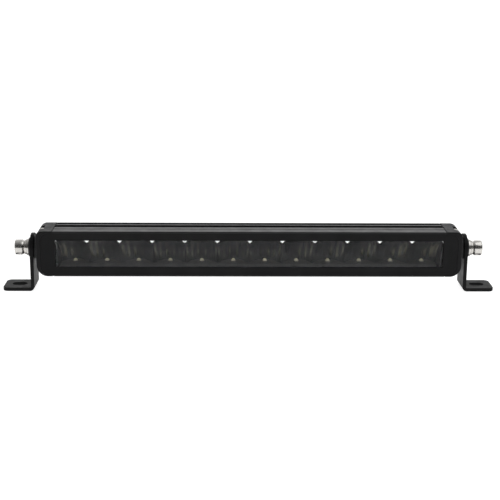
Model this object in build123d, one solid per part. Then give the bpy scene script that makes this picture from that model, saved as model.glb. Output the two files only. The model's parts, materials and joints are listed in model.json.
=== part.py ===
from build123d import *
import os
from math import cos, radians, sin, sqrt

# A single-row LED light bar with upward-facing LEDs and half-paraboloid reflectors.
# Frame: +X to the right of the lamp, +Y to its back, +Z up; the beam leaves along -Y.
# Origin: midpoint between the two mounting slots, on the underside of the bracket feet.
# All sizes are in millimetres.

# ---- driving dimensions ----
LED_COUNT = 12
LED_PITCH = 26.7
CELLS_PER_MODULE = 4

BODY_WIDTH = 349.0            # over both end caps
BODY_HEIGHT = 38.0
BODY_DEPTH = 50.0
AXIS_HEIGHT = 34.75           # pivot bolt axis above the mounting surface
AXIS_DEPTH = 22.5             # pivot bolt axis behind the front face
CAP_WIDTH = 13.2
GASKET_THICKNESS = 0.8

REAR_ARC_RADIUS = 21.0        # upper rear of the section
REAR_CORNER_RADIUS = 6.0      # lower rear of the section
FIN_GROOVE_DEPTH = 3.5
WALL = 2.45                   # floor wall and wall under the fin grooves

BEZEL_THICKNESS = 0.8
BEZEL_SET_BACK = 0.3
LENS_THICKNESS = 3.0
LENS_CORNER_RADIUS = 7.0
LENS_RIM = 1.25               # rim of the housing above and below the lens
LENS_END_RIM = 3.4            # rim of the end cap beside the lens
LENS_CLEARANCE = 0.15
SEAL_THICKNESS = 0.8
SEAL_WIDTH = 1.6
WINDOW_HALF_WIDTH = 158.8
WINDOW_BOTTOM = 24.0
WINDOW_TOP = 46.2
EDGE_RADIUS = 0.4             # softened edges of fins and sheet metal
FRONT_EDGE_RADIUS = 0.9       # front edges of housing and end caps
CAP_EDGE_RADIUS = 5.0         # outer edges of the end caps
CAP_BOTTOM_RADIUS = 9.5       # lower outer corners in front view

BOARD_THICKNESS = 1.6
PAD_THICKNESS = 0.2
LED_DEPTH = 34.5              # LED row behind the front face
REFLECTOR_FRONT = 5.5         # front plane of the reflectors behind the front face
REFLECTOR_WALL = 1.2
CUP_HALF_WIDTH = 21.5         # of the elliptic paraboloid at the front plane
CUP_HEIGHT = 29.5
MODULE_GAP = 0.5
LED_BASE = 3.5
LED_BASE_HEIGHT = 0.7
LED_DOME_RADIUS = 1.6

SHEET = 3.0                   # bracket sheet
BRACKET_WIDTH = 24.4
LEG_INNER_X = 178.5
FOOT_END_X = 205.0
SLOT_X = 192.5
SLOT_LENGTH = 12.5
SLOT_WIDTH = 8.5
FACE_GAP = 0.1                # running gap on each face of the bracket leg

BOLT_RADIUS = 4.0
HEAD_RADIUS = 6.5
HEAD_LENGTH = 8.0
BOLT_TIP_X = 165.0
BOSS_LENGTH = 2.4
INSERT_RADIUS = 6.0
INSERT_INNER_X = 164.0
OUTER_WASHER_THICKNESS = 1.6
FLAT_WASHER_THICKNESS = 1.6
SPRING_WASHER_THICKNESS = 2.2
PIVOT_WASHER_RADIUS = 9.0
OUTER_WASHER_RADIUS = 8.0
FLAT_WASHER_RADIUS = 7.2
SPRING_WASHER_RADIUS = 6.35

GLAND_X = 0.0
GLAND_Z = 36.0
GLAND_LENGTH = 17.0
GLAND_BORE_RADIUS = 3.25      # cable seal
SEAL_LENGTH = 12.5
VENT_X = 60.0
SPOT_FACE_DEPTH = 3.6

DRIVER_X = (-140.0, -16.0)    # span of the driver board
DRIVER_WIDTH = 21.4
DRIVER_OFFSET = 11.4          # board's middle plane from the rear arc's centre

# ---- derived places ----
FRONT_Y = -AXIS_DEPTH
REAR_Y = FRONT_Y + BODY_DEPTH
BOTTOM_Z = AXIS_HEIGHT - BODY_HEIGHT / 2
TOP_Z = AXIS_HEIGHT + BODY_HEIGHT / 2
CAP_OUTER_X = BODY_WIDTH / 2
CAP_INNER_X = CAP_OUTER_X - CAP_WIDTH
EXTRUSION_HALF = CAP_INNER_X - GASKET_THICKNESS

FLOOR_Z = BOTTOM_Z + WALL
BOARD_BOTTOM_Z = FLOOR_Z + PAD_THICKNESS
BOARD_TOP_Z = BOARD_BOTTOM_Z + BOARD_THICKNESS
LED_Z = BOARD_TOP_Z + 0.3
ARC_CENTRE_Y = REAR_Y - REAR_ARC_RADIUS
ARC_CENTRE_Z = TOP_Z - REAR_ARC_RADIUS
INNER_ARC_RADIUS = REAR_ARC_RADIUS - FIN_GROOVE_DEPTH - 3.0
CEILING_Z = ARC_CENTRE_Z + INNER_ARC_RADIUS
REAR_WALL_Y = ARC_CENTRE_Y + INNER_ARC_RADIUS

BEZEL_FRONT_Y = FRONT_Y + BEZEL_SET_BACK
LENS_FRONT_Y = BEZEL_FRONT_Y + BEZEL_THICKNESS
SEAL_FRONT_Y = LENS_FRONT_Y + LENS_THICKNESS
LEDGE_Y = SEAL_FRONT_Y + SEAL_THICKNESS
RECESS_HALF_X = CAP_OUTER_X - LENS_END_RIM
RECESS_BOTTOM_Z = BOTTOM_Z + LENS_RIM
RECESS_TOP_Z = TOP_Z - LENS_RIM

REFLECTOR_Y = FRONT_Y + REFLECTOR_FRONT
LED_Y = FRONT_Y + LED_DEPTH
FOCUS_TO_FRONT = LED_Y - REFLECTOR_Y
# focal length of a paraboloid that is CUP_HEIGHT tall at the front plane
FOCAL = (sqrt(FOCUS_TO_FRONT ** 2 + CUP_HEIGHT ** 2) - FOCUS_TO_FRONT) / 2
CUP_LENGTH = FOCAL + FOCUS_TO_FRONT
CUP_VERTEX_Y = LED_Y + FOCAL
ROOF_Z = WINDOW_TOP - 0.9
REFLECTOR_SCREW_Y = LED_Y + 4.0
FLANGE_TOP_Z = BOARD_TOP_Z + 1.4
MODULE_COUNT = LED_COUNT // CELLS_PER_MODULE
MODULE_LENGTH = CELLS_PER_MODULE * LED_PITCH
MODULE_NAMES = ("left", "middle", "right")
LED_XS = [(i - (LED_COUNT - 1) / 2) * LED_PITCH for i in range(LED_COUNT)]
MODULE_XS = [(i - (MODULE_COUNT - 1) / 2) * MODULE_LENGTH for i in range(MODULE_COUNT)]

# pivot stack, outward from the cap's boss
BOSS_X = CAP_OUTER_X + BOSS_LENGTH
PIVOT_WASHER_X = (BOSS_X, LEG_INNER_X - FACE_GAP)
LEG_OUTER_X = LEG_INNER_X + SHEET
OUTER_WASHER_X = LEG_OUTER_X + FACE_GAP
FLAT_WASHER_X = OUTER_WASHER_X + OUTER_WASHER_THICKNESS
SPRING_WASHER_X = FLAT_WASHER_X + FLAT_WASHER_THICKNESS
HEAD_X = SPRING_WASHER_X + SPRING_WASHER_THICKNESS
HEAD_END_X = HEAD_X + HEAD_LENGTH

# screw ports, as (depth behind the front face, height above the feet, where the head sits in X)
SCREW_PORTS = (
    (12.5, 50.9, 169.0),
    (9.5, 18.9, 168.0),
    (45.6, 20.3, 167.0),
    (46.3, 29.2, 167.0),
)
PORT_RADIUS = 1.55
CAP_SCREW_HEAD_LENGTH = 3.0

SPOT_FACE_Y = REAR_Y - SPOT_FACE_DEPTH
GLAND_END_Y = SPOT_FACE_Y + GLAND_LENGTH

nodes = {}


# ---- small helpers ----
def slab(x0, x1, y0, y1, z0, z1):
    """A box between two corners."""
    box = Box(x1 - x0, y1 - y0, z1 - z0)
    return Pos((x0 + x1) / 2, (y0 + y1) / 2, (z0 + z1) / 2) * box


def x_rod(x0, x1, radius, y=0.0, z=AXIS_HEIGHT):
    """A round bar along X."""
    return Pos((x0 + x1) / 2, y, z) * Cylinder(radius, abs(x1 - x0), rotation=(0, 90, 0))


def y_rod(y0, y1, radius, x, z):
    """A round bar along Y."""
    return Pos(x, (y0 + y1) / 2, z) * Cylinder(radius, abs(y1 - y0), rotation=(90, 0, 0))


def z_rod(z0, z1, radius, x, y):
    """A round bar upright."""
    return Pos(x, y, (z0 + z1) / 2) * Cylinder(radius, abs(z1 - z0))


def hexagon_along(axis_rotation, across_flats, length):
    """A hexagonal bar centred at the origin, turned from Z by axis_rotation."""
    face = RegularPolygon(across_flats / sqrt(3), 6)
    bar = extrude(face, length / 2, both=True)
    return Rot(*axis_rotation) * bar


def along_x(face_yz, x0, x1):
    """Extrude a face drawn on Plane.YZ from x0 to x1."""
    return Pos(x0, 0, 0) * extrude(face_yz, x1 - x0)


def both_sides(name, right_part):
    """Store a right-hand part and its mirror image as two nodes."""
    nodes[name + "_right"] = right_part
    nodes[name + "_left"] = mirror(right_part, about=Plane.YZ)


def rear_arc_point(radius, angle_deg):
    """A point about the rear arc's centre, with the angle measured back from upright."""
    angle = radians(angle_deg)
    return (ARC_CENTRE_Y + radius * sin(angle), ARC_CENTRE_Z + radius * cos(angle))


# ---- the housing section ----
def envelope_face():
    """Outline of the section: flat front, top and bottom, rounded upper rear."""
    corner_y = REAR_Y - REAR_CORNER_RADIUS
    corner_z = BOTTOM_Z + REAR_CORNER_RADIUS
    diagonal = REAR_CORNER_RADIUS * sqrt(0.5)
    bottom = Line((FRONT_Y, BOTTOM_Z), (corner_y, BOTTOM_Z))
    lower_corner = ThreePointArc(
        (corner_y, BOTTOM_Z), (corner_y + diagonal, corner_z - diagonal), (REAR_Y, corner_z)
    )
    back = Line((REAR_Y, corner_z), (REAR_Y, ARC_CENTRE_Z))
    upper = ThreePointArc(
        (REAR_Y, ARC_CENTRE_Z), rear_arc_point(REAR_ARC_RADIUS, 45), (ARC_CENTRE_Y, TOP_Z)
    )
    top = Line((ARC_CENTRE_Y, TOP_Z), (FRONT_Y, TOP_Z))
    front = Line((FRONT_Y, TOP_Z), (FRONT_Y, BOTTOM_Z))
    outline = Plane.YZ * make_face([bottom, lower_corner, back, upper, top, front])
    return outline


def rectangle_yz(y0, y1, z0, z1):
    """A rectangle in the section plane."""
    return Plane.YZ * Pos((y0 + y1) / 2, (z0 + z1) / 2) * Rectangle(y1 - y0, z1 - z0)


def fin_grooves():
    """Lengthwise cooling grooves on the top, around the rear arc and on the back."""
    top_grooves = ((16.0, 22.3), (25.5, 29.6))
    arc_angles = (12, 32, 52, 72)
    arc_groove_width = 3.6
    back_groove = (22.4, 26.2)
    grooves = []
    for start, end in top_grooves:
        grooves.append(
            rectangle_yz(FRONT_Y + start, FRONT_Y + end, TOP_Z - FIN_GROOVE_DEPTH, TOP_Z + 1)
        )
    for angle in arc_angles:
        y, z = rear_arc_point(REAR_ARC_RADIUS + 1, angle)
        length = 2 * (FIN_GROOVE_DEPTH + 1)
        groove = Plane.YZ * Pos(y, z) * Rot(0, 0, -angle) * Rectangle(arc_groove_width, length)
        grooves.append(groove)
    grooves.append(rectangle_yz(REAR_Y - FIN_GROOVE_DEPTH, REAR_Y + 1, *back_groove))
    return grooves


def cavity_face():
    """The optical chamber and the rear chamber, open to the lens recess."""
    front_shelf_z = 21.2
    middle_shelf_z = BOARD_TOP_Z + 0.2
    shelf_y = FRONT_Y + 11.8
    board_y = FRONT_Y + 23.6
    brow_y = FRONT_Y + 7.4
    brow_z = 51.2
    steps = Polyline(
        (REAR_WALL_Y, ARC_CENTRE_Z),
        (REAR_WALL_Y, FLOOR_Z),
        (board_y, FLOOR_Z),
        (board_y, middle_shelf_z),
        (shelf_y, middle_shelf_z),
        (shelf_y, front_shelf_z),
        (LEDGE_Y - 0.01, front_shelf_z),
        (LEDGE_Y - 0.01, brow_z),
        (brow_y, brow_z),
        (brow_y, CEILING_Z),
        (ARC_CENTRE_Y, CEILING_Z),
    )
    arc = ThreePointArc(
        (ARC_CENTRE_Y, CEILING_Z),
        rear_arc_point(INNER_ARC_RADIUS, 45),
        (REAR_WALL_Y, ARC_CENTRE_Z),
    )
    return Plane.YZ * make_face([steps, arc])


def driver_plane_rectangle(width, thickness, offset):
    """A rectangle tangent to the rear arc at 45 degrees, used for the board and its slot."""
    y, z = rear_arc_point(offset, 45)
    return Plane.YZ * Pos(y, z) * Rot(0, 0, -45) * Rectangle(width, thickness)


def section_face():
    """The whole extruded section."""
    face = envelope_face()
    outline_corners = face.vertices()
    for groove in fin_grooves():
        face -= groove
    kept = [(round(v.Y, 3), round(v.Z, 3)) for v in outline_corners]
    fin_corners = [v for v in face.vertices() if (round(v.Y, 3), round(v.Z, 3)) not in kept]
    face = fillet(fin_corners, EDGE_RADIUS)
    face = fillet(face.vertices().group_by(Axis.Y)[0], FRONT_EDGE_RADIUS)
    face -= rectangle_yz(FRONT_Y + 8.8, FRONT_Y + 9.8, TOP_Z - 0.4, TOP_Z + 1)
    face -= cavity_face()
    face -= rectangle_yz(FRONT_Y - 1, LEDGE_Y, RECESS_BOTTOM_Z, RECESS_TOP_Z)
    face -= driver_plane_rectangle(DRIVER_WIDTH + 0.4, BOARD_THICKNESS + 0.2, DRIVER_OFFSET)
    for depth, height, _ in SCREW_PORTS:
        face -= Plane.YZ * Pos(FRONT_Y + depth, height) * Circle(PORT_RADIUS)
    return face


def make_housing():
    """Aluminium extrusion with spot faces for the cable gland and the vent."""
    body = along_x(section_face(), -EXTRUSION_HALF, EXTRUSION_HALF)
    for x, face_radius, hole_radius in ((GLAND_X, 9.0, 5.05), (VENT_X, 7.5, 4.05)):
        body -= y_rod(SPOT_FACE_Y, REAR_Y + 1, face_radius, x, GLAND_Z)
        body -= y_rod(REAR_WALL_Y - 5, REAR_Y, hole_radius, x, GLAND_Z)
    for module_x in MODULE_XS:
        for x in reflector_screw_xs(module_x):
            body -= z_rod(BOTTOM_Z + 0.8, FLOOR_Z + 0.1, 1.3, x, REFLECTOR_SCREW_Y)
    nodes["housing_extrusion"] = body


def make_end_gaskets():
    """Flat gaskets with the section's own shape, set in from the outside."""
    inset = offset(envelope_face(), amount=-0.5)
    face = section_face() & inset
    both_sides("end_gasket", along_x(face, EXTRUSION_HALF, CAP_INNER_X))


# ---- end caps ----
def cap_blank():
    """The section's outline, rounded off towards the outside."""
    blank = along_x(envelope_face(), CAP_INNER_X, CAP_OUTER_X)
    outer_edges = blank.faces().sort_by(Axis.X)[-1].edges()
    blank = fillet(outer_edges.sort_by(Axis.Y)[1:], CAP_EDGE_RADIUS)
    length = 4 * BODY_DEPTH
    front_view = Rectangle(2 * CAP_WIDTH, BODY_HEIGHT)
    bottom_corner = front_view.vertices().group_by(Axis.X)[-1].sort_by(Axis.Y)[0]
    front_view = fillet(bottom_corner, CAP_BOTTOM_RADIUS)
    front_prism = extrude(Plane.XZ * front_view, length / 2, both=True)
    blank &= Pos(CAP_INNER_X, 0, AXIS_HEIGHT) * front_prism
    front_edges = blank.edges().group_by(Axis.Y)[0]
    seam = front_edges.sort_by(Axis.X)[0]
    return fillet([edge for edge in front_edges if edge != seam], FRONT_EDGE_RADIUS)


def rounded_plate(half_x, z0, z1, radius, y0, y1):
    """An upright plate with rounded corners, between two depths."""
    face = RectangleRounded(2 * half_x, z1 - z0, radius)
    plate = extrude(Plane.XZ * face, (y1 - y0) / 2, both=True)
    return Pos(0, (y0 + y1) / 2, (z0 + z1) / 2) * plate


def make_end_caps():
    """Cast caps with a pivot boss, screw pockets and the end of the lens recess."""
    pocket_depth = 5.0
    pocket_radius = 3.1
    top_pocket_length = 8.0
    cap = cap_blank()
    cap += x_rod(CAP_OUTER_X - 1, BOSS_X, 10.0)
    cap -= rounded_plate(
        RECESS_HALF_X, RECESS_BOTTOM_Z, RECESS_TOP_Z, LENS_CORNER_RADIUS, FRONT_Y - 1, LEDGE_Y
    )
    hollow = slab(
        CAP_INNER_X - 1, CAP_INNER_X + pocket_depth, LEDGE_Y + 2, REAR_WALL_Y - 3, 24.0, 45.0
    )
    hollow -= x_rod(CAP_INNER_X - 2, CAP_OUTER_X, 9.5)
    cap -= hollow
    cap -= x_rod(INSERT_INNER_X, BOSS_X + 1, INSERT_RADIUS)
    for depth, height, seat_x in SCREW_PORTS:
        y = FRONT_Y + depth
        cap -= x_rod(CAP_INNER_X - 1, seat_x + 1, PORT_RADIUS + 0.15, y, height)
        cap -= x_rod(seat_x, CAP_OUTER_X + 5, pocket_radius, y, height)
        if height > 45:
            cap -= slab(
                seat_x, CAP_OUTER_X + 5, y - pocket_radius, y + top_pocket_length, height, TOP_Z + 1
            )
        elif height < 20:
            cap -= slab(
                seat_x, CAP_OUTER_X + 5, y - pocket_radius, y + pocket_radius, BOTTOM_Z - 1, height
            )
    both_sides("end_cap", cap)


def make_end_cap_screws():
    """M3 socket screws in the cap pockets, four to a side."""
    screws = []
    for depth, height, seat_x in SCREW_PORTS:
        y = FRONT_Y + depth
        head_end = seat_x + CAP_SCREW_HEAD_LENGTH
        head = x_rod(seat_x, head_end, 2.75, y, height)
        socket = hexagon_along((0, 90, 0), 2.5, 3.0)
        head -= Pos(head_end, y, height) * socket
        screws.append(head + x_rod(152.0, seat_x + 0.5, 1.5, y, height))
    both_sides("end_cap_screws", Compound(children=screws))


def make_threaded_inserts():
    """M8 inserts set into the caps; the thread is left as a plain bore."""
    insert = x_rod(INSERT_INNER_X, BOSS_X, INSERT_RADIUS)
    insert -= x_rod(INSERT_INNER_X - 1, BOSS_X + 1, BOLT_RADIUS + 0.05)
    both_sides("threaded_insert", insert)


# ---- bezel, lens and seal ----
def lens_outline(y0, y1, shrink):
    """A plate that follows the lens recess, smaller all round by shrink."""
    return rounded_plate(
        RECESS_HALF_X - shrink,
        RECESS_BOTTOM_Z + shrink,
        RECESS_TOP_Z - shrink,
        LENS_CORNER_RADIUS - shrink,
        y0,
        y1,
    )


def make_front():
    """Black bezel plate with a window, the clear lens behind it and the seal on the ledge."""
    bezel = lens_outline(BEZEL_FRONT_Y, LENS_FRONT_Y, LENS_CLEARANCE)
    bezel -= slab(
        -WINDOW_HALF_WIDTH,
        WINDOW_HALF_WIDTH,
        BEZEL_FRONT_Y - 1,
        LENS_FRONT_Y + 1,
        WINDOW_BOTTOM,
        WINDOW_TOP,
    )
    nodes["lens_bezel"] = bezel
    nodes["lens"] = lens_outline(LENS_FRONT_Y, SEAL_FRONT_Y, LENS_CLEARANCE)
    seal = lens_outline(SEAL_FRONT_Y, LEDGE_Y, LENS_CLEARANCE)
    seal -= lens_outline(SEAL_FRONT_Y - 1, LEDGE_Y + 1, LENS_CLEARANCE + SEAL_WIDTH)
    nodes["lens_seal"] = seal


# ---- optics ----
def reflector_screw_xs(module_x):
    """Screws stand on the lines between the cups of one module."""
    return [module_x + i * LED_PITCH for i in (-1, 0, 1)]


def paraboloid(length, height, half_width, vertex_y):
    """A solid elliptic paraboloid that opens towards the front."""
    curve = Bezier((0, 0), (0, height / 2), (-length, height))
    rim = Line((-length, height), (-length, 0))
    axis_line = Line((-length, 0), (0, 0))
    face = Plane.YZ * make_face([curve, rim, axis_line])
    bowl = revolve(face, Axis.Y)
    bowl = scale(bowl, by=(half_width / height, 1, 1))
    return Pos(0, vertex_y, LED_Z) * bowl


def cup_outside():
    """The solid bounded by the back of one cup's shell."""
    wall = REFLECTOR_WALL
    height = cup_height_at(CUP_LENGTH) + wall
    half_width = cup_width_at(CUP_LENGTH) + wall
    return paraboloid(CUP_LENGTH + wall, height, half_width, CUP_VERTEX_Y + wall)


def reflector_cell():
    """One cup: shell, spandrels in the front plane, roof and screw flange."""
    half = LED_PITCH / 2
    wall = REFLECTOR_WALL
    inner_length = CUP_LENGTH + 2
    inner = paraboloid(
        inner_length, cup_height_at(inner_length), cup_width_at(inner_length), CUP_VERTEX_Y
    )
    outer = cup_outside()
    roof_top_z = CEILING_Z - 0.15
    room = slab(-half, half, REFLECTOR_Y, CUP_VERTEX_Y + 2, BOARD_TOP_Z, roof_top_z)
    cell = outer & room
    cell += slab(-half, half, REFLECTOR_Y, REFLECTOR_Y + wall, BOARD_TOP_Z + 2, 50.9)
    cell += slab(-half, half, LED_Y - 4, LED_Y + 6.5, BOARD_TOP_Z, FLANGE_TOP_Z)
    cavity = inner & slab(-half, half, REFLECTOR_Y - 3, CUP_VERTEX_Y + 2, 0, ROOF_Z)
    return cell - cavity


def cup_height_at(length):
    """Height of the cup's paraboloid at a distance from its vertex."""
    return 2 * sqrt(FOCAL * length)


def cup_width_at(length):
    """Half width of the cup's paraboloid at a distance from its vertex."""
    return cup_height_at(length) * CUP_HALF_WIDTH / CUP_HEIGHT


def make_reflectors():
    """Three metallised modules of four cups each."""
    cell = reflector_cell()
    half_module = (MODULE_LENGTH - MODULE_GAP) / 2
    module = Part()
    for i in range(CELLS_PER_MODULE):
        module += Pos((i - (CELLS_PER_MODULE - 1) / 2) * LED_PITCH, 0, 0) * cell
    module &= slab(-half_module, half_module, FRONT_Y, REAR_Y, 0, TOP_Z)
    for x in reflector_screw_xs(0):
        module -= z_rod(BOARD_TOP_Z - 1, FLANGE_TOP_Z + 1, 1.4, x, REFLECTOR_SCREW_Y)
    for side in (-1, 1):
        edge = side * half_module
        low, high = sorted((edge, edge - side * 4.5))
        module -= slab(low, high, LED_Y - 0.5, REAR_Y, 0, FLANGE_TOP_Z + 3)
    end_cup_x = (CELLS_PER_MODULE - 1) / 2 * LED_PITCH
    end_wall = Pos(end_cup_x, 0, 0) * cup_outside()
    end_wall &= slab(
        half_module - REFLECTOR_WALL, half_module, REFLECTOR_Y, REAR_Y, FLANGE_TOP_Z + 3, ROOF_Z
    )
    for name, module_x in zip(MODULE_NAMES, MODULE_XS):
        shape = module
        if name == "left":
            shape = module + mirror(end_wall, about=Plane.YZ)
        if name == "right":
            shape = module + end_wall
        nodes["reflector_" + name] = Pos(module_x, 0, 0) * shape


def make_reflector_screws():
    """M2.5 pan-head screws through flange and board into the housing floor."""
    screws = []
    for module_x in MODULE_XS:
        for x in reflector_screw_xs(module_x):
            shank = z_rod(BOTTOM_Z + 1.0, FLANGE_TOP_Z + 0.5, 1.2, x, REFLECTOR_SCREW_Y)
            head = z_rod(FLANGE_TOP_Z, FLANGE_TOP_Z + 1.6, 2.2, x, REFLECTOR_SCREW_Y)
            screws.append(shank + head)
    nodes["reflector_screws"] = Compound(children=screws)


def make_led_boards():
    """Metal-core boards on thermal pads, one under each reflector module."""
    front_y = FRONT_Y + 24.3
    rear_y = REAR_WALL_Y - 0.4
    half = (MODULE_LENGTH - MODULE_GAP) / 2
    for name, module_x in zip(MODULE_NAMES, MODULE_XS):
        board = slab(-half, half, front_y, rear_y, BOARD_BOTTOM_Z, BOARD_TOP_Z)
        pad = slab(-half + 1, half - 1, front_y + 1, rear_y - 1, FLOOR_Z, BOARD_BOTTOM_Z)
        for x in reflector_screw_xs(0):
            hole = z_rod(FLOOR_Z - 1, BOARD_TOP_Z + 1, 1.4, x, REFLECTOR_SCREW_Y)
            board -= hole
            pad -= hole
        nodes["led_board_" + name] = Pos(module_x, 0, 0) * board
        nodes["thermal_pad_" + name] = Pos(module_x, 0, 0) * pad


def make_leds():
    """Twelve LED packages: a square carrier and a domed lens over the phosphor."""
    carriers = []
    domes = []
    half = LED_BASE / 2
    carrier_top = BOARD_TOP_Z + LED_BASE_HEIGHT
    for x in LED_XS:
        carriers.append(
            slab(x - half, x + half, LED_Y - half, LED_Y + half, BOARD_TOP_Z, carrier_top)
        )
        ball = Pos(x, LED_Y, carrier_top) * Sphere(LED_DOME_RADIUS)
        domes.append(ball & slab(x - 3, x + 3, LED_Y - 3, LED_Y + 3, carrier_top, carrier_top + 3))
    nodes["led_carriers"] = Compound(children=carriers)
    nodes["led_domes"] = Compound(children=domes)


def make_board_links():
    """Plug-in links that bridge neighbouring LED boards."""
    links = []
    for left, right in zip(MODULE_XS, MODULE_XS[1:]):
        x = (left + right) / 2
        body = slab(x - 4, x + 4, LED_Y + 1, LED_Y + 6, BOARD_TOP_Z, BOARD_TOP_Z + 2.6)
        body -= slab(x - 3, x + 3, LED_Y + 2.2, LED_Y + 4.8, BOARD_TOP_Z + 1.4, BOARD_TOP_Z + 3)
        links.append(body)
    nodes["board_links"] = Compound(children=links)


# ---- driver ----
def on_driver(part):
    """Place a part drawn flat (X along the bar, Y across, Z off the board) on the board."""
    y, z = rear_arc_point(DRIVER_OFFSET, 45)
    return Pos(0, y, z) * Rot(-45, 0, 0) * Rot(180, 0, 0) * part


def make_driver():
    """Driver board slid into slots of the extrusion, with its parts facing inward."""
    top = BOARD_THICKNESS / 2
    x0, x1 = DRIVER_X
    half = DRIVER_WIDTH / 2
    board = slab(x0, x1, -half, half, -top, top)
    nodes["driver_board"] = on_driver(board)
    coils = [Pos(x, -2, top + 2) * Cylinder(3.9, 4.0) for x in (-110, -92)]
    nodes["driver_coils"] = on_driver(Compound(children=coils))
    cans = [Pos(x, -1, top + 2.1) * Cylinder(3.1, 4.2) for x in (-128, -76, -66)]
    nodes["driver_capacitors"] = on_driver(Compound(children=cans))
    chips = [Pos(x, 1, top + 0.8) * Box(5, 4, 1.6) for x in (-54, -46)]
    nodes["driver_transistors"] = on_driver(Compound(children=chips))
    terminal = Pos(-26, -2, top + 2.25) * Box(10, 7, 4.5)
    for x in (-28.5, -23.5):
        terminal -= Pos(x, -4, top + 2.25) * Box(3, 6, 2.6)
    nodes["input_terminal"] = on_driver(terminal)


# ---- cable gland and vent ----
def make_gland():
    """Screwed cable gland: body, O-ring, dome nut and rubber seal."""
    thread_y = REAR_WALL_Y + 0.4
    washer_y = SPOT_FACE_Y + 1.2
    collar_y = washer_y + 4.0
    nut_y = collar_y + 0.4
    body = y_rod(thread_y, nut_y + 6, 5.0, GLAND_X, GLAND_Z)
    collar = hexagon_along((90, 0, 0), 14.0, collar_y - washer_y)
    body += Pos(GLAND_X, (washer_y + collar_y) / 2, GLAND_Z) * collar
    body -= y_rod(REAR_WALL_Y - 1, GLAND_END_Y, 4.1, GLAND_X, GLAND_Z)
    nodes["gland_body"] = body
    ring = y_rod(SPOT_FACE_Y, washer_y, 7.4, GLAND_X, GLAND_Z)
    nodes["gland_washer"] = ring - y_rod(SPOT_FACE_Y - 1, washer_y + 1, 5.1, GLAND_X, GLAND_Z)
    nut_length = GLAND_END_Y - nut_y
    nut = Pos(GLAND_X, nut_y + nut_length / 2, GLAND_Z) * hexagon_along((90, 0, 0), 14.0, nut_length)
    cone_face = Plane.YZ * make_face(
        Polyline(
            (nut_y - 1, 0), (nut_y - 1, 9), (nut_y + 6, 9), (GLAND_END_Y, 5.4),
            (GLAND_END_Y, 0), (nut_y - 1, 0),
        )
    )
    nut &= Pos(GLAND_X, 0, GLAND_Z) * revolve(cone_face, Axis.Y)
    nut -= y_rod(nut_y - 1, nut_y + 7, 5.2, GLAND_X, GLAND_Z)
    nut -= y_rod(nut_y, GLAND_END_Y + 1, 4.1, GLAND_X, GLAND_Z)
    nodes["gland_nut"] = nut
    seal = y_rod(GLAND_END_Y - SEAL_LENGTH, GLAND_END_Y, 4.0, GLAND_X, GLAND_Z)
    seal -= y_rod(thread_y, GLAND_END_Y + 1, GLAND_BORE_RADIUS, GLAND_X, GLAND_Z)
    nodes["gland_seal"] = seal


def make_vent():
    """Pressure vent: threaded plug with side slits over a membrane disc."""
    flange_y = SPOT_FACE_Y
    cap_y = flange_y + 4.5
    plug = y_rod(REAR_WALL_Y + 0.4, flange_y + 1, 4.0, VENT_X, GLAND_Z)
    plug += y_rod(flange_y, cap_y, 6.5, VENT_X, GLAND_Z)
    plug -= y_rod(REAR_WALL_Y, flange_y + 1.2, 2.4, VENT_X, GLAND_Z)
    plug -= y_rod(flange_y + 1.2, cap_y - 1.2, 5.0, VENT_X, GLAND_Z)
    for angle in range(0, 360, 60):
        slit = Pos(6, 0, 0) * Box(5, 1.2, 1.2)
        slit = Pos(VENT_X, flange_y + 2.5, GLAND_Z) * Rot(0, angle, 0) * slit
        plug -= slit
    nodes["vent_plug"] = plug
    nodes["vent_membrane"] = y_rod(flange_y + 1.2, flange_y + 1.5, 4.6, VENT_X, GLAND_Z)


# ---- brackets and pivot hardware ----
def make_brackets():
    """Bent sheet-steel angles with a round-topped leg and a slotted foot."""
    bend_outer = 4.0
    bend_inner = 1.0
    foot_corner = 4.5
    half = BRACKET_WIDTH / 2
    top_z = AXIS_HEIGHT + half
    leg = slab(LEG_INNER_X, LEG_OUTER_X, -half, half, 0, top_z)
    foot = slab(LEG_INNER_X, FOOT_END_X, -half, half, 0, SHEET)
    bracket = leg + foot
    across = bracket.edges().filter_by(Axis.Y)
    heel = across.sort_by(Axis.X).group_by(Axis.X)[0].sort_by(Axis.Z)[0]
    bracket = fillet(heel, bend_outer)
    across = bracket.edges().filter_by(Axis.Y)
    crease = across.sort_by_distance((LEG_OUTER_X, 0, SHEET))[0]
    bracket = fillet(crease, bend_inner)
    side_view = Plane.YZ * Pos(0, AXIS_HEIGHT / 2) * Rectangle(BRACKET_WIDTH, AXIS_HEIGHT)
    side_view += Plane.YZ * Pos(0, AXIS_HEIGHT) * Circle(half)
    bracket &= along_x(side_view, LEG_INNER_X - 1, FOOT_END_X + 1)
    uprights = bracket.edges().filter_by(Axis.Z).group_by(Axis.X)[-1]
    bracket = fillet(uprights, foot_corner)
    bracket = fillet(bracket.edges().filter_by(lambda e: e.length > 0.9 * EDGE_RADIUS), EDGE_RADIUS)
    bracket -= x_rod(LEG_INNER_X - 1, LEG_OUTER_X + 1, BOLT_RADIUS + 0.25)
    slot = extrude(SlotOverall(SLOT_LENGTH, SLOT_WIDTH), SHEET + 2, both=True)
    bracket -= Pos(SLOT_X, 0, 0) * slot
    both_sides("bracket", bracket)


def ring_along_x(x0, x1, outer_radius, inner_radius):
    """A flat ring about the pivot axis."""
    return x_rod(x0, x1, outer_radius) - x_rod(x0 - 1, x1 + 1, inner_radius)


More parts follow.
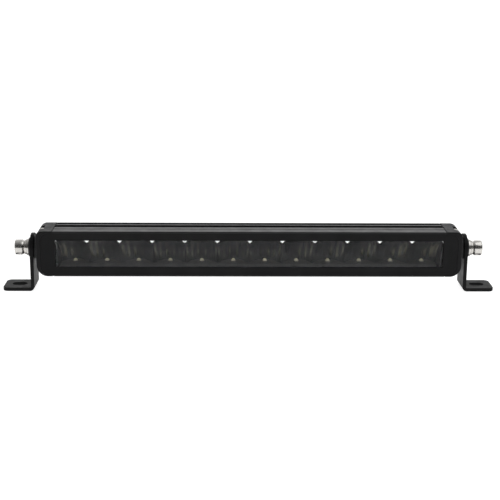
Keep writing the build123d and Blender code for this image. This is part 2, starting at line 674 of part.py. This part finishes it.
def make_pivot_hardware():
    """M8 socket screw, spring washer, flat washer, black washer and inner washer."""
    clear = BOLT_RADIUS + 0.2
    both_sides("pivot_washer", ring_along_x(*PIVOT_WASHER_X, PIVOT_WASHER_RADIUS, clear))
    outer = ring_along_x(OUTER_WASHER_X, FLAT_WASHER_X, OUTER_WASHER_RADIUS, clear)
    both_sides("outer_washer", outer)
    flat = ring_along_x(FLAT_WASHER_X, SPRING_WASHER_X, FLAT_WASHER_RADIUS, clear)
    both_sides("flat_washer", flat)
    spring = ring_along_x(SPRING_WASHER_X, HEAD_X, SPRING_WASHER_RADIUS, clear)
    gap = Pos((SPRING_WASHER_X + HEAD_X) / 2, 0, AXIS_HEIGHT + 6) * Rot(0, 0, 25) * Box(6, 1.2, 6)
    both_sides("spring_washer", spring - gap)
    head = x_rod(HEAD_X, HEAD_END_X, HEAD_RADIUS)
    rim = head.edges().filter_by(GeomType.CIRCLE).group_by(Axis.X)[-1]
    head = fillet(rim, 0.8)
    socket = hexagon_along((0, 90, 0), 6.0, 2 * 4.0)
    head -= Pos(HEAD_END_X, 0, AXIS_HEIGHT) * socket
    both_sides("pivot_bolt", head + x_rod(BOLT_TIP_X, HEAD_X + 0.5, BOLT_RADIUS))


make_housing()
make_end_gaskets()
make_end_caps()
make_end_cap_screws()
make_threaded_inserts()
make_front()
make_reflectors()
make_reflector_screws()
make_led_boards()
make_leds()
make_board_links()
make_driver()
make_gland()
make_vent()
make_brackets()
make_pivot_hardware()

os.makedirs("parts", exist_ok=True)
for name, part in nodes.items():
    export_step(part, f"parts/{name}.step")
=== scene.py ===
import json
import math

import bmesh
import bpy
from mathutils import Matrix, Vector


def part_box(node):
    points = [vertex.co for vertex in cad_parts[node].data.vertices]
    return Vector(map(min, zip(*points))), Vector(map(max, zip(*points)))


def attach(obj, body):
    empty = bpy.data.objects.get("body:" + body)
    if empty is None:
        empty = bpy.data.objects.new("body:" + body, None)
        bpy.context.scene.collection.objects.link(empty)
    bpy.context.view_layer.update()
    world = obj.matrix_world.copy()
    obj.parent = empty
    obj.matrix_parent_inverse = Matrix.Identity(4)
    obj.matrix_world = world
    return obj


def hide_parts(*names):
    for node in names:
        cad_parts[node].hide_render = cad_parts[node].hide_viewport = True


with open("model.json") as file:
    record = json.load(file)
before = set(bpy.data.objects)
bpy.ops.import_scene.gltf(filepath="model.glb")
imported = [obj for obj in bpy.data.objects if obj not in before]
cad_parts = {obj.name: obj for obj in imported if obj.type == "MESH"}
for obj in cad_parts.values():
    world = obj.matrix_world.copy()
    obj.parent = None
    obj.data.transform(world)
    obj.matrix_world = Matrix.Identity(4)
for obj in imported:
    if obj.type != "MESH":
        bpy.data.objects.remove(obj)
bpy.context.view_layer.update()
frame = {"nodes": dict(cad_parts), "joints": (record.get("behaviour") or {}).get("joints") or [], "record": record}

MM = 0.001
NODES = frame["nodes"]
SLOT_OF = {part["node"]: part["material_slot"] for part in frame["record"]["subparts"]}


def corners_of(node):
    """Lowest and highest corner of a CAD node, in millimetres."""
    return [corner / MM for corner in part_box(node)]


# ---- materials ----
class Surface:
    """A Principled material with procedural detail, built up by the methods below."""

    def __init__(self, name, colour, rough, **plain):
        self.material = bpy.data.materials.new(name)
        self.material.use_nodes = True
        self.tree = self.material.node_tree
        self.shader = self.tree.nodes["Principled BSDF"]
        self.shader.inputs["Base Color"].default_value = (*colour, 1.0)
        self.shader.inputs["Roughness"].default_value = rough
        for socket, value in plain.items():
            self.shader.inputs[socket.replace("_", " ")].default_value = value
        self.place = self.node("ShaderNodeTexCoord").outputs["Object"]

    def node(self, kind, **settings):
        made = self.tree.nodes.new(kind)
        for key, value in settings.items():
            setattr(made, key, value)
        return made

    def link(self, source, target):
        self.tree.links.new(source, target)

    def stretched(self, stretch):
        """Object coordinates, in metres, shrunk along the directions where detail runs long."""
        mapping = self.node("ShaderNodeMapping")
        mapping.inputs["Scale"].default_value = stretch
        self.link(self.place, mapping.inputs["Vector"])
        return mapping.outputs["Vector"]

    def noise(self, grain, detail=2.0, stretch=None, seed=0.0):
        """Noise whose features are about grain metres across."""
        texture = self.node("ShaderNodeTexNoise", noise_dimensions="4D")
        texture.inputs["W"].default_value = seed
        texture.inputs["Scale"].default_value = 1.0 / grain
        texture.inputs["Detail"].default_value = detail
        place = self.stretched(stretch) if stretch else self.place
        self.link(place, texture.inputs["Vector"])
        return texture.outputs["Fac"]

    def ranged(self, source, low, high, start=0.35, end=0.65):
        """source, from start to end, carried over to low to high."""
        span = self.node("ShaderNodeMapRange")
        span.inputs["From Min"].default_value = start
        span.inputs["From Max"].default_value = end
        span.inputs["To Min"].default_value = low
        span.inputs["To Max"].default_value = high
        self.link(source, span.inputs["Value"])
        return span.outputs["Result"]

    def math(self, operation, a, b):
        """One Math node, fed by numbers or sockets."""
        made = self.node("ShaderNodeMath", operation=operation)
        for socket, value in zip(made.inputs, (a, b)):
            if isinstance(value, (int, float)):
                socket.default_value = value
            else:
                self.link(value, socket)
        return made.outputs["Value"]

    def vary_rough(self, grain, low, high, **kind):
        """Roughness that wanders from low to high."""
        rough = self.ranged(self.noise(grain, **kind), low, high)
        self.link(rough, self.shader.inputs["Roughness"])

    def tint(self, share, other):
        """Mix the base colour towards another one by a share that varies over the surface."""
        mix = self.node("ShaderNodeMix", data_type="RGBA")
        base = self.shader.inputs["Base Color"]
        if base.links:
            self.link(base.links[0].from_socket, mix.inputs["A"])
        else:
            mix.inputs["A"].default_value = base.default_value
        mix.inputs["B"].default_value = (*other, 1.0)
        self.link(share, mix.inputs["Factor"])
        self.link(mix.outputs["Result"], base)

    def mottle(self, grain, other, most=0.5, **kind):
        """Blotches of another colour."""
        self.tint(self.ranged(self.noise(grain, **kind), 0.0, most), other)

    def bump(self, grain, depth, **kind):
        """Bump of about depth metres."""
        made = self.node("ShaderNodeBump")
        made.inputs["Strength"].default_value = 1.0
        made.inputs["Distance"].default_value = depth
        self.link(self.noise(grain, **kind), made.inputs["Height"])
        normal = self.shader.inputs["Normal"]
        if normal.links:
            self.link(normal.links[0].from_socket, made.inputs["Normal"])
        self.link(made.outputs["Normal"], normal)

    def worn_and_highlit_edges(self, radius, other, most):
        """Lighter edges where a bevelled normal leaves the surface's own normal: partly rubbed wear, partly a
        painted edge highlight.
        """
        bevel = self.node("ShaderNodeBevel", samples=4)
        bevel.inputs["Radius"].default_value = radius
        flat = self.node("ShaderNodeNewGeometry").outputs["Normal"]
        dot = self.node("ShaderNodeVectorMath", operation="DOT_PRODUCT")
        self.link(bevel.outputs["Normal"], dot.inputs[0])
        self.link(flat, dot.inputs[1])
        edge = self.ranged(dot.outputs["Value"], most, 0.0, start=0.78, end=0.985)
        broken = self.ranged(self.noise(1.5 * MM, detail=3.0, seed=5.0), 0.35, 1.0)
        # Edge tint: rubbed wear plus a painted highlight along every edge.
        self.tint(self.math("MULTIPLY", edge, broken), other)

    def inside(self, middle, half):
        """1 inside a box given in millimetres, 0 outside it."""
        split = self.node("ShaderNodeSeparateXYZ")
        self.link(self.place, split.inputs["Vector"])
        share = 1.0
        for axis, centre, reach in zip("XYZ", middle, half):
            away = self.math("SUBTRACT", split.outputs[axis], centre * MM)
            near = self.math("LESS_THAN", self.math("ABSOLUTE", away, 0.0), reach * MM)
            share = self.math("MULTIPLY", near, share)
        return share


def make_materials():
    """One finish for each material slot of the record, and one for the reflectors' cheeks."""
    made = {}

    def keep(slot, surface):
        made[slot] = surface.material

    coat = Surface("black_powder_coat", (0.012, 0.012, 0.0125), 0.36, IOR=1.3)
    coat.mottle(30 * MM, (0.017, 0.017, 0.018), 0.6, stretch=(0.15, 1, 1))
    coat.vary_rough(9 * MM, 0.33, 0.41, detail=3.0)
    coat.bump(0.9 * MM, 0.010 * MM, detail=2.0)
    coat.worn_and_highlit_edges(0.35 * MM, (0.05, 0.05, 0.052), 0.5)
    # The inner shelf behind the lens is coloured a lighter grey than the rest of the coat.
    lighter_shelf = coat.inside((0.0, -6.0, 20.5), (158.5, 11.4, 1.6))
    coat.tint(lighter_shelf, (0.15, 0.15, 0.156))
    keep("black_powder_coat", coat)

    cast = Surface("black_cast_coat", (0.007, 0.007, 0.0073), 0.42, IOR=1.2)
    cast.mottle(12 * MM, (0.011, 0.011, 0.0115), 0.6)
    cast.vary_rough(5 * MM, 0.38, 0.5, detail=3.0)
    cast.bump(0.55 * MM, 0.022 * MM, detail=3.0)
    cast.worn_and_highlit_edges(0.4 * MM, (0.05, 0.05, 0.052), 0.5)
    keep("black_cast_coat", cast)

    sheet = Surface("bracket_coat", (0.009, 0.009, 0.0093), 0.4, IOR=1.14)
    sheet.mottle(10 * MM, (0.013, 0.013, 0.0135), 0.5)
    sheet.vary_rough(6 * MM, 0.35, 0.46, detail=3.0)
    sheet.bump(1.1 * MM, 0.012 * MM, detail=2.0)
    sheet.worn_and_highlit_edges(0.4 * MM, (0.07, 0.07, 0.072), 0.6)
    keep("bracket_coat", sheet)

    rubber = Surface("black_rubber", (0.011, 0.011, 0.011), 0.7, IOR=1.35)
    rubber.mottle(3 * MM, (0.02, 0.02, 0.02), 0.5)
    rubber.bump(0.3 * MM, 0.015 * MM, detail=3.0)
    keep("black_rubber", rubber)

    lens = Surface(
        "clear_polycarbonate", (0.97, 0.975, 0.975), 0.02, IOR=1.18, Transmission_Weight=1.0
    )
    lens.vary_rough(14 * MM, 0.012, 0.03, detail=3.0)
    lens.bump(40 * MM, 0.012 * MM, detail=1.0)
    keep("clear_polycarbonate", lens)

    bezel = Surface("black_bezel", (0.009, 0.009, 0.0092), 0.5, IOR=1.16)
    bezel.mottle(16 * MM, (0.013, 0.013, 0.0135), 0.6)
    bezel.vary_rough(4 * MM, 0.45, 0.58, detail=3.0)
    bezel.bump(0.25 * MM, 0.006 * MM, detail=3.0)
    keep("black_bezel", bezel)

    mirror = Surface("metallised_reflector", (0.74, 0.74, 0.75), 0.16, Metallic=1.0)
    mirror.vary_rough(10 * MM, 0.13, 0.2, detail=3.0)
    # Painted reflection: the flat front plate gets a brighter mirror colour than the cups, though both are the
    # same metallised coat, so its reflections read whiter.
    painted_bright_plate = mirror.inside((0.0, -17.5, 48.0), (161.0, 0.8, 6.0))
    mirror.tint(painted_bright_plate, (0.95, 0.95, 0.95))
    mirror.bump(6 * MM, 0.02 * MM, detail=1.0)
    keep("metallised_reflector", mirror)

    board = Surface("led_board_black", (0.055, 0.055, 0.057), 0.4)
    board.mottle(5 * MM, (0.075, 0.075, 0.078), 0.6, detail=3.0)
    board.bump(0.5 * MM, 0.01 * MM)
    keep("led_board_black", board)

    pad = Surface("thermal_pad", (0.3, 0.32, 0.35), 0.8)
    pad.mottle(2 * MM, (0.38, 0.4, 0.43), 0.7, detail=3.0)
    pad.bump(0.4 * MM, 0.03 * MM)
    keep("thermal_pad", pad)

    ceramic = Surface("led_ceramic", (0.5, 0.48, 0.38), 0.5)
    ceramic.mottle(0.8 * MM, (0.6, 0.58, 0.47), 0.6)
    ceramic.bump(0.1 * MM, 0.004 * MM)
    keep("led_ceramic", ceramic)

    phosphor = Surface("led_phosphor", (0.84, 0.8, 0.6), 0.22, Coat_Weight=0.5)
    phosphor.mottle(0.5 * MM, (0.74, 0.7, 0.5), 0.7, detail=3.0)
    phosphor.bump(0.6 * MM, 0.006 * MM)
    keep("led_phosphor", phosphor)

    white = Surface("white_plastic", (0.7, 0.69, 0.65), 0.45)
    white.mottle(2 * MM, (0.76, 0.75, 0.71), 0.6)
    white.bump(0.3 * MM, 0.006 * MM)
    keep("white_plastic", white)

    green = Surface("driver_board_green", (0.02, 0.1, 0.05), 0.3)
    green.mottle(3 * MM, (0.035, 0.14, 0.07), 0.6, detail=4.0)
    green.bump(0.8 * MM, 0.01 * MM)
    keep("driver_board_green", green)

    ferrite = Surface("ferrite", (0.04, 0.04, 0.043), 0.55)
    ferrite.mottle(0.6 * MM, (0.07, 0.07, 0.075), 0.7, detail=3.0)
    ferrite.bump(0.3 * MM, 0.02 * MM, detail=3.0)
    keep("ferrite", ferrite)

    can = Surface("capacitor_can", (0.62, 0.62, 0.63), 0.3, Metallic=1.0)
    can.vary_rough(1.5 * MM, 0.24, 0.38, detail=3.0)
    can.bump(0.4 * MM, 0.004 * MM)
    keep("capacitor_can", can)

    chip = Surface("chip_epoxy", (0.018, 0.018, 0.018), 0.55)
    chip.mottle(0.4 * MM, (0.03, 0.03, 0.03), 0.7)
    chip.bump(0.2 * MM, 0.006 * MM, detail=3.0)
    keep("chip_epoxy", chip)

    nylon = Surface("black_nylon", (0.014, 0.014, 0.0145), 0.48, IOR=1.4)
    nylon.mottle(4 * MM, (0.022, 0.022, 0.023), 0.6)
    nylon.vary_rough(2.5 * MM, 0.42, 0.55, detail=3.0)
    nylon.bump(0.25 * MM, 0.01 * MM, detail=3.0)
    nylon.worn_and_highlit_edges(0.3 * MM, (0.04, 0.04, 0.042), 0.5)
    keep("black_nylon", nylon)

    membrane = Surface("vent_membrane", (0.8, 0.8, 0.8), 0.9)
    membrane.mottle(0.3 * MM, (0.65, 0.65, 0.66), 0.7, detail=3.0)
    membrane.bump(0.2 * MM, 0.02 * MM, detail=3.0)
    keep("vent_membrane", membrane)

    steel = Surface("stainless_steel", (0.6, 0.585, 0.56), 0.24, Metallic=1.0)
    steel.mottle(3 * MM, (0.5, 0.485, 0.46), 0.6, detail=3.0)
    steel.vary_rough(1.2 * MM, 0.16, 0.28, detail=3.0, stretch=(3, 1, 1))
    steel.bump(0.35 * MM, 0.0015 * MM, detail=2.0, stretch=(4, 1, 1))
    steel.worn_and_highlit_edges(0.25 * MM, (0.75, 0.74, 0.72), 0.5)
    keep("stainless_steel", steel)

    brass = Surface("brass", (0.66, 0.5, 0.24), 0.28, Metallic=1.0)
    brass.vary_rough(1.5 * MM, 0.22, 0.36, detail=3.0)
    brass.bump(0.3 * MM, 0.004 * MM, stretch=(4, 1, 1))
    keep("brass", brass)

    cheek = Surface("dark_satin_moulding", (0.05, 0.05, 0.052), 0.45)
    cheek.mottle(4 * MM, (0.065, 0.065, 0.067), 0.6)
    cheek.vary_rough(2.5 * MM, 0.4, 0.52, detail=3.0)
    keep("dark_satin_moulding", cheek)
    return made


def dress(obj, slot):
    """Give an object one finish, in place of what it has."""
    obj.data.materials.clear()
    obj.data.materials.append(MATERIALS[slot])


MATERIALS = make_materials()
for node_name, node_object in NODES.items():
    dress(node_object, SLOT_OF[node_name])


# ---- reflector modules ----
module_low, module_high = corners_of("reflector_middle")
MOUTH_Y = module_low.y        # front plane of the cups
PLATE_TOP_Z = module_high.z
LED_PITCH = 26.7
CELLS = 4
MODULE_GAP = 0.5
MODULE_PITCH = CELLS * LED_PITCH
OPTIC_AXIS_Z = 20.3           # height of the paraboloids' axis
VERTEX_Y = 18.18              # depth of the paraboloids' vertex
FOUR_FOCALS = 24.74           # four times the paraboloids' focal length
SQUASH = 29.5 / 20.9          # height over half width of a cup's mouth
ROOF_Z = 45.3                 # flat roof that cuts the cups off
FLUTE_PITCH = 4.5
FLUTE_DEPTH = 0.16
SHELL = 1.1                   # wall of a module


def cup_depth(x, z):
    """Depth of a cup's mirror at x from its middle and z above its axis, with fine flutes."""
    flute = FLUTE_DEPTH * math.cos(2 * math.pi * x / FLUTE_PITCH)
    return VERTEX_Y - (z ** 2 + (SQUASH * x) ** 2) / FOUR_FOCALS + flute


def rim_height(x):
    """Height above the axis where the cup meets the front plane or the roof."""
    square = FOUR_FOCALS * (VERTEX_Y - MOUTH_Y) - (SQUASH * x) ** 2
    return min(math.sqrt(square), ROOF_Z - OPTIC_AXIS_Z)


def add_strip(mesh, lines, smooth):
    """Join equally long lines of points into a skin of four-sided faces."""
    rows = [[mesh.verts.new(point) for point in line] for line in lines]
    for left, right in zip(rows, rows[1:]):
        for j in range(len(left) - 1):
            face = mesh.faces.new((left[j], right[j], right[j + 1], left[j + 1]))
            face.smooth = smooth


def make_reflector(name, middle):
    """Mirror face of one module: fluted cups, their roof and the flat front plate."""
    cup_rows = 40
    plate_rows = 4
    columns = 48 * CELLS
    length = MODULE_PITCH - MODULE_GAP
    cups = []
    roofs = []
    plate = []

    def spot(x, y, z):
        return Vector((middle + x, y, z)) * MM

    for i in range(columns + 1):
        x = -length / 2 + length * i / columns
        cell = min(CELLS - 1, int((x + MODULE_PITCH / 2) // LED_PITCH))
        local = x + MODULE_PITCH / 2 - (cell + 0.5) * LED_PITCH
        rim = rim_height(local)
        top = OPTIC_AXIS_Z + rim
        heights = [rim * j / cup_rows for j in range(cup_rows + 1)]
        cups.append([spot(x, cup_depth(local, z), OPTIC_AXIS_Z + z) for z in heights])
        back = cup_depth(local, rim)
        roofs.append([spot(x, y, top) for y in (back, (back + MOUTH_Y) / 2, MOUTH_Y)])
        rise = (PLATE_TOP_Z - top) / plate_rows
        plate.append([spot(x, MOUTH_Y, top + rise * j) for j in range(plate_rows + 1)])

    mesh = bmesh.new()
    add_strip(mesh, cups, True)
    add_strip(mesh, plate, False)
    tolerance = 0.01 * MM
    level = [abs(line[0].z - ROOF_Z * MM) < tolerance for line in roofs]
    for left, right, flat_left, flat_right in zip(roofs, roofs[1:], level, level[1:]):
        if flat_left and flat_right:
            add_strip(mesh, [left, right], False)
    return make_shell(name, mesh)


def make_cheek(name, end):
    """Dark end wall of an outer module, closing its last cup."""
    rows = 24
    steps = 12
    local = LED_PITCH / 2 - MODULE_GAP / 2 - SHELL
    x = end * (local + 1.5 * MODULE_PITCH - LED_PITCH / 2)
    wall = []
    for j in range(rows + 1):
        z = rim_height(local) * j / rows
        back = cup_depth(local, z)
        depths = [back + (MOUTH_Y - back) * k / steps for k in range(steps + 1)]
        wall.append([Vector((x, y, OPTIC_AXIS_Z + z)) * MM for y in depths])
    mesh = bmesh.new()
    add_strip(mesh, wall if end > 0 else wall[::-1], False)
    return make_shell(name, mesh)


def make_shell(name, mesh):
    """An object from a skin, thickened behind it."""
    data = bpy.data.meshes.new(name)
    mesh.to_mesh(data)
    mesh.free()
    piece = bpy.data.objects.new(name, data)
    bpy.context.scene.collection.objects.link(piece)
    thick = piece.modifiers.new("shell", "SOLIDIFY")
    thick.thickness = SHELL * MM
    thick.offset = -1.0
    return piece


def finish_piece(piece, body, slot, *nodes):
    """Apply the modifiers, dress the piece and let it stand for its CAD nodes."""
    bpy.context.view_layer.objects.active = piece
    for modifier in list(piece.modifiers):
        bpy.ops.object.modifier_apply(modifier=modifier.name)
    dress(piece, slot)
    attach(piece, body)
    if nodes:
        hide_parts(*nodes)


for side, shift in (("left", -1), ("middle", 0), ("right", 1)):
    optic = make_reflector("reflector_optic_" + side, shift * MODULE_PITCH)
    finish_piece(optic, "lamp", "metallised_reflector", "reflector_" + side)
    if shift:
        cheek = make_cheek("reflector_cheek_" + side, shift)
        finish_piece(cheek, "lamp", "black_nylon")
        dress(cheek, "dark_satin_moulding")


# ---- pivot bolts and spring washers ----
bolt_low, bolt_high = corners_of("pivot_bolt_right")
spring_low, spring_high = corners_of("spring_washer_right")
BOLT_AXIS_Z = frame["joints"][0]["pos_m"][2] / MM
BOLT_TIP_X = bolt_low.x
HEAD_X = spring_high.x        # bearing face of the bolt head
HEAD_END_X = bolt_high.x
HEAD_RADIUS = BOLT_AXIS_Z - bolt_low.z
SPRING_X = spring_low.x       # inner face of the spring washer
SHANK_RADIUS = 4.0
SHANK_CHAMFER = 0.7
HEAD_ROUND = 1.3              # rounded outer edge of the head
SOCKET_ACROSS = 6.0
SOCKET_DEPTH = 4.0
SOCKET_POINT = 0.8            # drill point below the socket's floor
SPRING_RADII = (4.25, 6.3)
SPRING_ROUND = 0.6
SPRING_GAP = 12               # degrees left open by the split
SPRING_LEAD = 0.2             # offset of the two ends along the axis
SHARP_ANGLE = 38              # degrees; sharper corners stay crisp
TURNS = 72                    # points round a turned part


def round_bolt_axis(x, radius, angle):
    """A point at a distance from the axis of the pivot bolts."""
    return Vector((x, radius * math.sin(angle), BOLT_AXIS_Z + radius * math.cos(angle))) * MM


def hexagon_radius(angle):
    """Distance from the middle to the side of the bolt's socket."""
    sixth = math.pi / 3
    return SOCKET_ACROSS / 2 / math.cos((angle + sixth / 2) % sixth - sixth / 2)


def join_rings(mesh, loops):
    """Faces between each closed ring of vertices and the next."""
    for near, far in zip(loops, loops[1:]):
        for k in range(len(near)):
            mesh.faces.new((near[k - 1], near[k], far[k], far[k - 1]))


def skin_object(name, mesh):
    """An object from a closed skin, smooth but for its real corners."""
    bmesh.ops.recalc_face_normals(mesh, faces=mesh.faces)
    for face in mesh.faces:
        face.smooth = True
    data = bpy.data.meshes.new(name)
    mesh.to_mesh(data)
    mesh.free()
    data.set_sharp_from_angle(angle=math.radians(SHARP_ANGLE))
    piece = bpy.data.objects.new(name, data)
    bpy.context.scene.collection.objects.link(piece)
    return piece


def make_bolt(name, side):
    """Socket head bolt with a chamfer under the head and a rounded outer edge."""
    profile = [
        (BOLT_TIP_X, SHANK_RADIUS - SHANK_CHAMFER),
        (BOLT_TIP_X + SHANK_CHAMFER, SHANK_RADIUS),
        (HEAD_X, SHANK_RADIUS),
        (HEAD_X, HEAD_RADIUS - 1.2),
        (HEAD_X + 0.35, HEAD_RADIUS - 1.0),
        (HEAD_X + 1.5, HEAD_RADIUS - 0.12),
        (HEAD_X + 1.9, HEAD_RADIUS),
    ]
    round_steps = 8
    for k in range(round_steps + 1):
        turn = math.radians(90 * k / round_steps)
        x = HEAD_END_X - HEAD_ROUND * (1 - math.sin(turn))
        profile.append((x, HEAD_RADIUS - HEAD_ROUND * (1 - math.cos(turn))))
    profile.append((HEAD_END_X, SOCKET_ACROSS / 2 + 1.0))
    mesh = bmesh.new()
    angles = [2 * math.pi * k / TURNS for k in range(TURNS)]
    rings = [[round_bolt_axis(side * x, r, a) for a in angles] for x, r in profile]
    for x in (HEAD_END_X, HEAD_END_X - SOCKET_DEPTH):
        rings.append([round_bolt_axis(side * x, hexagon_radius(a), a) for a in angles])
    loops = [[mesh.verts.new(point) for point in ring] for ring in rings]
    join_rings(mesh, loops)
    socket_end_x = HEAD_END_X - SOCKET_DEPTH - SOCKET_POINT
    for loop, x in ((loops[0], BOLT_TIP_X), (loops[-1], socket_end_x)):
        tip = mesh.verts.new(round_bolt_axis(side * x, 0.0, 0.0))
        for k in range(TURNS):
            mesh.faces.new((loop[k - 1], loop[k], tip))
    return skin_object(name, mesh)


def make_spring_washer(name, side):
    """Split ring with rounded edges, whose two ends are offset along the axis."""
    inner, outer = SPRING_RADII
    thickness = HEAD_X - SPRING_X - SPRING_LEAD
    round_steps = 4
    section = []
    corners = ((inner, 0, 180), (outer, 0, 270), (outer, thickness, 0), (inner, thickness, 90))
    for radius, x, start in corners:
        middle_r = radius + (SPRING_ROUND if radius == inner else -SPRING_ROUND)
        middle_x = x + (SPRING_ROUND if x == 0 else -SPRING_ROUND)
        for k in range(round_steps + 1):
            turn = math.radians(start + 90 * k / round_steps)
            place_r = middle_r + SPRING_ROUND * math.cos(turn)
            section.append((middle_x + SPRING_ROUND * math.sin(turn), place_r))
    mesh = bmesh.new()
    loops = []
    for k in range(TURNS + 1):
        share = k / TURNS
        angle = math.radians(SPRING_GAP / 2 + (360 - SPRING_GAP) * share)
        face_x = SPRING_X + SPRING_LEAD * share
        ring = [round_bolt_axis(side * (face_x + x), r, angle) for x, r in section]
        loops.append([mesh.verts.new(point) for point in ring])
    join_rings(mesh, loops)
    mesh.faces.new(loops[0])
    mesh.faces.new(loops[-1])
    return skin_object(name, mesh)


for side, sign in (("left", -1), ("right", 1)):
    bolt = make_bolt("bolt_turned_" + side, sign)
    finish_piece(bolt, "lamp", "stainless_steel", "pivot_bolt_" + side)
    spring = make_spring_washer("spring_ring_" + side, sign)
    finish_piece(spring, "lamp", "stainless_steel", "spring_washer_" + side)


# ---- floor, light and camera ----
CAMERA_PLACE = (-0.01942, -0.9225, 0.2863)
CAMERA_YAW = 1.24             # degrees, to the right of straight ahead
CAMERA_PITCH = 15.38          # degrees below level
CAMERA_ROLL = 0.44
FOCAL_LENGTH = 82.27


def make_floor():
    """Pale ground that stays nearly white and takes only a faint shadow."""
    bpy.ops.mesh.primitive_plane_add(size=12.0)
    floor = bpy.context.object
    floor.name = "floor"
    surface = Surface("pale_floor", (0.5, 0.5, 0.5), 0.7, Emission_Strength=0.88)
    surface.shader.inputs["Emission Color"].default_value = (1.0, 1.0, 1.0, 1.0)
    surface.mottle(0.25, (0.52, 0.52, 0.52), 0.5)
    surface.bump(4 * MM, 0.02 * MM)
    floor.data.materials.append(surface.material)


def area_light(name, place, aim, width, depth, watts):
    """A softbox at a place, turned towards its aim."""
    data = bpy.data.lights.new(name, "AREA")
    data.shape = "RECTANGLE"
    data.size = width
    data.size_y = depth
    data.energy = watts
    light = bpy.data.objects.new(name, data)
    light.location = place
    light.rotation_euler = (Vector(aim) - Vector(place)).to_track_quat("-Z", "Y").to_euler()
    bpy.context.scene.collection.objects.link(light)
    return light


def make_world():
    """White to the eye. As light it is dim in front and grows brighter towards the back."""
    world = bpy.data.worlds.new("studio")
    bpy.context.scene.world = world
    world.use_nodes = True
    tree = world.node_tree
    seen = tree.nodes["Background"]
    seen.inputs["Color"].default_value = (1, 1, 1, 1)
    seen.inputs["Strength"].default_value = 1.0
    lit = tree.nodes.new("ShaderNodeBackground")
    direction = tree.nodes.new("ShaderNodeTexCoord").outputs["Generated"]
    split = tree.nodes.new("ShaderNodeSeparateXYZ")
    tree.links.new(direction, split.inputs["Vector"])
    brighter = tree.nodes.new("ShaderNodeMapRange")
    span = {"From Min": -0.75, "From Max": 0.45, "To Min": 0.10, "To Max": 0.85}
    for socket, value in span.items():
        brighter.inputs[socket].default_value = value
    tree.links.new(split.outputs["Y"], brighter.inputs["Value"])
    tree.links.new(brighter.outputs["Result"], lit.inputs["Strength"])
    path = tree.nodes.new("ShaderNodeLightPath")
    choice = tree.nodes.new("ShaderNodeMixShader")
    tree.links.new(path.outputs["Is Camera Ray"], choice.inputs["Fac"])
    tree.links.new(lit.outputs["Background"], choice.inputs[1])
    tree.links.new(seen.outputs["Background"], choice.inputs[2])
    tree.links.new(choice.outputs["Shader"], tree.nodes["World Output"].inputs["Surface"])


def make_camera():
    """Camera of the product view: above the lamp's middle, looking slightly down."""
    yaw = math.radians(CAMERA_YAW)
    pitch = math.radians(CAMERA_PITCH)
    roll = math.radians(CAMERA_ROLL)
    forward = Vector(
        (math.sin(yaw) * math.cos(pitch), math.cos(yaw) * math.cos(pitch), -math.sin(pitch))
    )
    level = Vector((math.cos(yaw), -math.sin(yaw), 0.0))
    upward = level.cross(forward)
    right = level * math.cos(roll) + upward * math.sin(roll)
    top = upward * math.cos(roll) - level * math.sin(roll)
    data = bpy.data.cameras.new("camera")
    data.lens = FOCAL_LENGTH
    data.sensor_width = 36.0
    data.clip_start = 0.01
    camera = bpy.data.objects.new("camera", data)
    turn = Matrix((right, top, -forward)).transposed().to_4x4()
    camera.matrix_world = Matrix.Translation(CAMERA_PLACE) @ turn
    bpy.context.scene.collection.objects.link(camera)
    bpy.context.scene.camera = camera


make_floor()
make_world()
make_camera()
lamp_middle = (0.0, 0.0, 0.03)
area_light("softbox_top", (0.55, -0.2, 1.0), (0.45, -0.1, 0.0), width=1.0, depth=0.9, watts=3.2)
front_box = area_light(
    "softbox_front", (0.0, -1.05, 0.64), lamp_middle, width=1.3, depth=0.34, watts=4.5
)
front_box.visible_glossy = False
area_light("softbox_back", (0.0, 1.5, 0.7), lamp_middle, width=2.4, depth=0.7, watts=4.0)
bpy.context.scene.view_settings.view_transform = "Standard"
